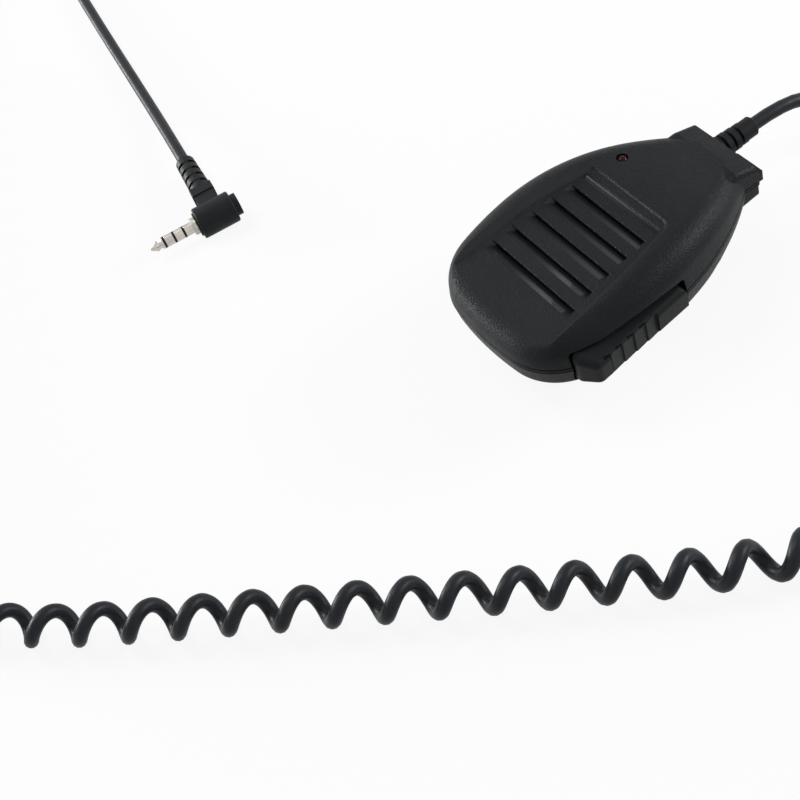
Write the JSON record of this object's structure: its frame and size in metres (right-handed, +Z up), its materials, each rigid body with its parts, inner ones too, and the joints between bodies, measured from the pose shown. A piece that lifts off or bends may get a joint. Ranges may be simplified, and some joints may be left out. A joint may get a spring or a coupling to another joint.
{
  "type": "hand microphone",
  "caption": "Hand-held speaker microphone for a two-way radio, with a louvred front, a side talk button, a swivelling belt clip, a coiled cord and a right-angle plug.",
  "frame": {"origin": "where the axis of the clip's swivel meets the surface that the microphone lies on", "axes": "+Z up out of the front, +Y from the wide end to the neck where the cord enters, +X the side of the talk button"},
  "size_m": [0.3955, 0.2856, 0.0286],
  "materials": {
    "case_plastic": "fine leather grain",
    "button_plastic": "fine grain, satin",
    "clip_plastic": "satin",
    "soft_rubber": "matte",
    "cord_jacket": "satin",
    "moulded_black": "matte moulded",
    "nickel": "polished, lightly worn",
    "rough_nickel": "rough plated",
    "band_plastic": "satin",
    "cloth": "woven",
    "foam_rubber": "matte",
    "pressed_steel": "satin",
    "cone_film": "translucent film",
    "magnet_can": "plated",
    "capsule_can": "satin",
    "board_laminate": "solder resist",
    "chip_plastic": "matte",
    "lamp_red": "clear tinted",
    "switch_plastic": "matte",
    "socket_plastic": "matte",
    "wire_jacket": "satin",
    "black_steel": "black oxide",
    "plated_steel": "zinc plated",
    "spring_steel": "drawn wire",
    "brass_insert": "turned"
  },
  "bodies": {
    "case": {"front_shell": "case_plastic", "rear_shell": "case_plastic", "case_screws": "black_steel", "grille_cloth": "cloth", "speaker_gasket": "foam_rubber", "speaker_basket": "pressed_steel", "speaker_cone": "cone_film", "speaker_magnet": "magnet_can", "mic_boot": "soft_rubber", "mic_capsule": "capsule_can", "circuit_board": "board_laminate", "board_screws": "plated_steel", "board_parts": "chip_plastic", "status_led": "lamp_red", "ptt_switch": "switch_plastic", "earphone_socket": "socket_plastic", "strain_relief": "soft_rubber", "cord_tail": "cord_jacket", "cord_wires": "wire_jacket", "speaker_wires": "wire_jacket", "swivel_insert": "brass_insert", "swivel_screw": "plated_steel", "swivel_washer": "plated_steel", "mic_lead": "cord_jacket", "coiled_cord": "cord_jacket", "plug_lead": "cord_jacket", "plug_barrel": "moulded_black", "plug_cap": "moulded_black", "plug_collar": "moulded_black", "plug_block": "moulded_black", "plug_relief": "moulded_black", "plug_flange": "rough_nickel", "jack_sleeve": "nickel", "jack_ring_a": "nickel", "jack_ring_b": "nickel", "jack_tip": "nickel", "jack_insulators": "band_plastic", "jack_core": "brass_insert"},
    "talk_button": {"ptt_button": "button_plastic"},
    "switch_plunger": {"switch_plunger": "switch_plastic"},
    "socket_cover": {"socket_cover": "soft_rubber"},
    "clip_base": {"clip_plate": "clip_plastic", "clip_pin": "plated_steel", "clip_spring": "spring_steel"},
    "clip_lever": {"clip_lever": "clip_plastic"}
  },
  "joints": [
    {"name": "ptt_press", "type": "hinge", "parent": "case", "child": "talk_button", "pos_m": [0.0236, 0.0019, 0.016], "axis": [0, 0, -1], "range_deg": [0, 2.5], "stiffness_Nm_per_rad": 0.6, "springref_deg": -3.44},
    {"name": "switch_press", "type": "slide", "parent": "case", "child": "switch_plunger", "axis": [-1, 0, 0], "range_m": [0, 0.00036]},
    {"name": "cover_pull", "type": "slide", "parent": "case", "child": "socket_cover", "axis": [0, 1, 0], "range_m": [0, 0.03]},
    {"name": "clip_swivel", "type": "hinge", "parent": "case", "child": "clip_base", "pos_m": [0, 0, 0.006], "axis": [0, 0, 1], "continuous": true},
    {"name": "clip_open", "type": "hinge", "parent": "clip_base", "child": "clip_lever", "pos_m": [0, -0.0095, 0.0036], "axis": [-1, 0, 0], "range_deg": [0, 22], "stiffness_Nm_per_rad": 0.36, "springref_deg": -25.78, "deforming": ["clip_spring"]}
  ],
  "couplings": [
    {"joint": "switch_press", "follows": "ptt_press", "m_per_rad": 0.008}
  ]
}
